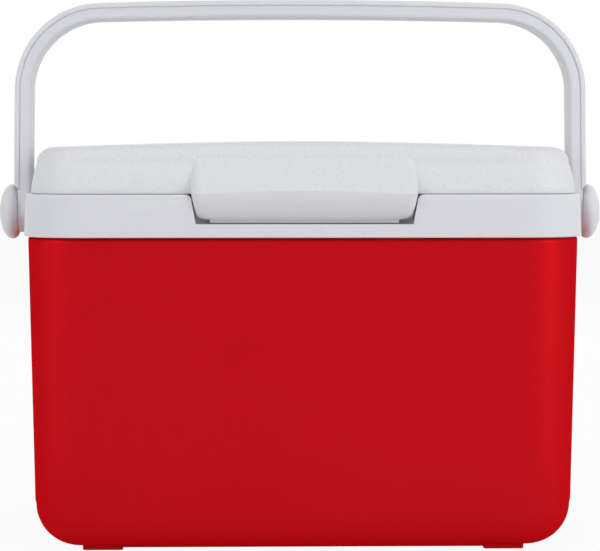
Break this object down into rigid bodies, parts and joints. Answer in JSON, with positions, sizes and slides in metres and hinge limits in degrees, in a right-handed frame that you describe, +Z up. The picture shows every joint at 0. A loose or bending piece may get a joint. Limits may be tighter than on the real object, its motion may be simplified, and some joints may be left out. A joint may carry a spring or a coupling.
{
  "type": "personal cooler",
  "caption": "Hand-carried insulated cooler: tapered plastic tub, collar, hinged lid with a front pull tab, and a swinging bail handle on domed pivot buttons.",
  "frame": {"origin": "on the ground under the centre of the cooler, at the underside of the feet", "axes": "+Z up, +X to the cooler's right as seen from the front, the front with the pull tab faces -Y; rest pose is lid shut and bail upright"},
  "size_m": [0.355, 0.217, 0.3116],
  "materials": {
    "red_shell": "satin moulded",
    "pale_gloss": "smooth moulded",
    "pale_grain": "fine leather grain",
    "white_liner": "smooth moulded",
    "foam": "rigid foam",
    "pin_steel": "plain"
  },
  "bodies": {
    "tub": {"outer_shell": "red_shell", "body_foam": "foam", "inner_liner": "white_liner", "collar": "pale_gloss", "hinge_pin_left": "pin_steel", "hinge_pin_right": "pin_steel", "pivot_button_left": "pale_gloss", "pivot_button_right": "pale_gloss"},
    "lid": {"lid_cover": "pale_grain", "lid_foam": "foam", "lid_panel": "white_liner"},
    "bail": {"bail_handle": "pale_gloss"}
  },
  "joints": [
    {"name": "lid_hinge", "type": "hinge", "parent": "tub", "child": "lid", "pos_m": [0, 0.1037, 0.2001], "axis": [-1, 0, 0], "range_deg": [0, 25]},
    {"name": "bail_swing", "type": "hinge", "parent": "tub", "child": "bail", "pos_m": [0, 0, 0.1878], "axis": [1, 0, 0], "range_deg": [-100, 100]}
  ]
}
